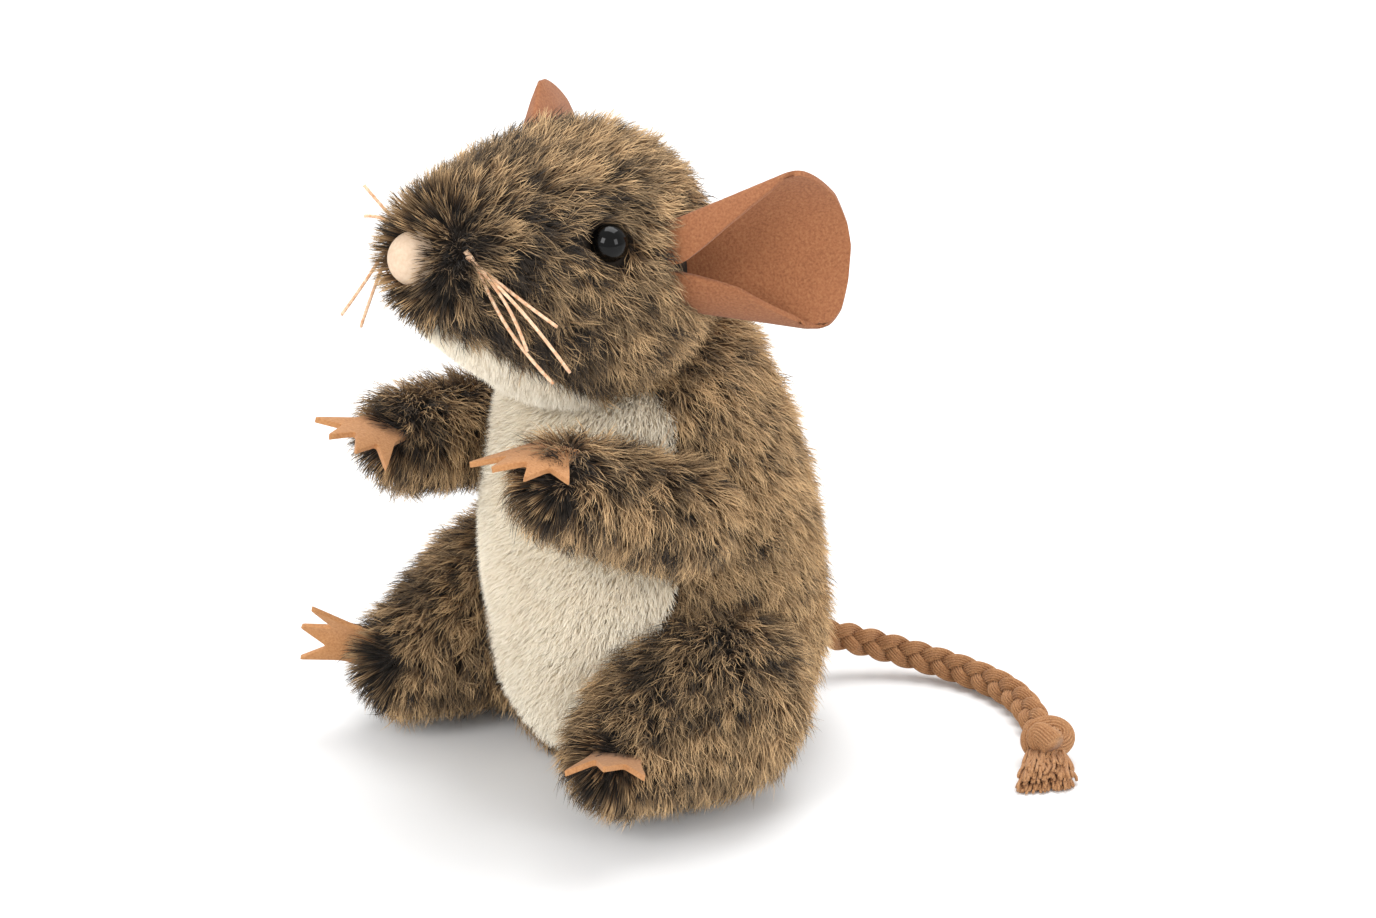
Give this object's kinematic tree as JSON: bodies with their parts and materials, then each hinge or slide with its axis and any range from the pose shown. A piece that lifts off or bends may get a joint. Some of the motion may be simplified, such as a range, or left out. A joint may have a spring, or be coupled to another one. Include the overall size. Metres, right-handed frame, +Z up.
{
  "type": "jointed plush mouse",
  "caption": "Seated plush mouse with fur fabric body, felt ears, hands and feet, thread whiskers, braided cord tail, and disc-jointed head, arms and legs.",
  "frame": {"origin": "on the flat seat under the body, where the middle plane meets the seat", "axes": "+Z up, the mouse faces -Y, its left side is +X"},
  "size_m": [0.1063, 0.106, 0.1097],
  "materials": {
    "fur_brown": "brown mohair-like plush with dark roots and tan tips",
    "fur_white": "short cream plush",
    "stuffing": "polyester fibre",
    "pellets": "cotton bag of plastic pellets",
    "felt_light": "matte wool felt",
    "felt_ear": "matte wool felt",
    "eye_black": "polished",
    "nose_peach": "matte",
    "thread": "waxed thread",
    "cord": "braided cotton cord",
    "steel": "plain",
    "hardboard": "pressed hardboard"
  },
  "bodies": {
    "torso": {"belly_panel": "fur_white", "pellet_bag": "pellets", "tail_anchor": "cord", "tail_cord": "cord", "tail_knot": "cord", "tail_tassel": "cord", "torso_back": "fur_brown", "torso_joint_discs": "hardboard", "torso_joint_washers": "steel", "torso_stuffing": "stuffing"},
    "head": {"ear_left": "felt_ear", "ear_right": "felt_ear", "eye_left": "eye_black", "eye_right": "eye_black", "eye_washers": "steel", "head_skin": "fur_brown", "head_stuffing": "stuffing", "neck_disc": "hardboard", "neck_pin": "steel", "neck_washer": "steel", "nose": "nose_peach", "nose_washer": "steel", "whiskers_left": "thread", "whiskers_right": "thread"},
    "arm_left": {"arm_left_disc": "hardboard", "arm_left_pin": "steel", "arm_left_skin": "fur_brown", "arm_left_stuffing": "stuffing", "arm_left_washer": "steel", "hand_left": "felt_light"},
    "arm_right": {"arm_right_disc": "hardboard", "arm_right_pin": "steel", "arm_right_skin": "fur_brown", "arm_right_stuffing": "stuffing", "arm_right_washer": "steel", "hand_right": "felt_light"},
    "leg_left": {"foot_left": "felt_light", "leg_left_disc": "hardboard", "leg_left_pin": "steel", "leg_left_skin": "fur_brown", "leg_left_stuffing": "stuffing", "leg_left_washer": "steel"},
    "leg_right": {"foot_right": "felt_light", "leg_right_disc": "hardboard", "leg_right_pin": "steel", "leg_right_skin": "fur_brown", "leg_right_stuffing": "stuffing", "leg_right_washer": "steel"}
  },
  "joints": [
    {"name": "neck", "type": "hinge", "parent": "torso", "child": "head", "pos_m": [0, -0.01059, 0.07053], "axis": [0, -0.342, 0.9397], "range_deg": [-60, 60]},
    {"name": "shoulder_left", "type": "hinge", "parent": "torso", "child": "arm_left", "pos_m": [0.0238, -0.0148, 0.0515], "axis": [-0.9879, 0.0691, -0.1392], "range_deg": [-50, 12]},
    {"name": "shoulder_right", "type": "hinge", "parent": "torso", "child": "arm_right", "pos_m": [-0.0238, -0.0148, 0.0515], "axis": [-0.9879, -0.0691, 0.1392], "range_deg": [-34, 26]},
    {"name": "hip_left", "type": "hinge", "parent": "torso", "child": "leg_left", "pos_m": [0.024, -0.009, 0.018], "axis": [-1, 0, 0], "range_deg": [-75, 20]},
    {"name": "hip_right", "type": "hinge", "parent": "torso", "child": "leg_right", "pos_m": [-0.024, -0.01, 0.018], "axis": [-1, 0, 0], "range_deg": [-75, 20]}
  ]
}
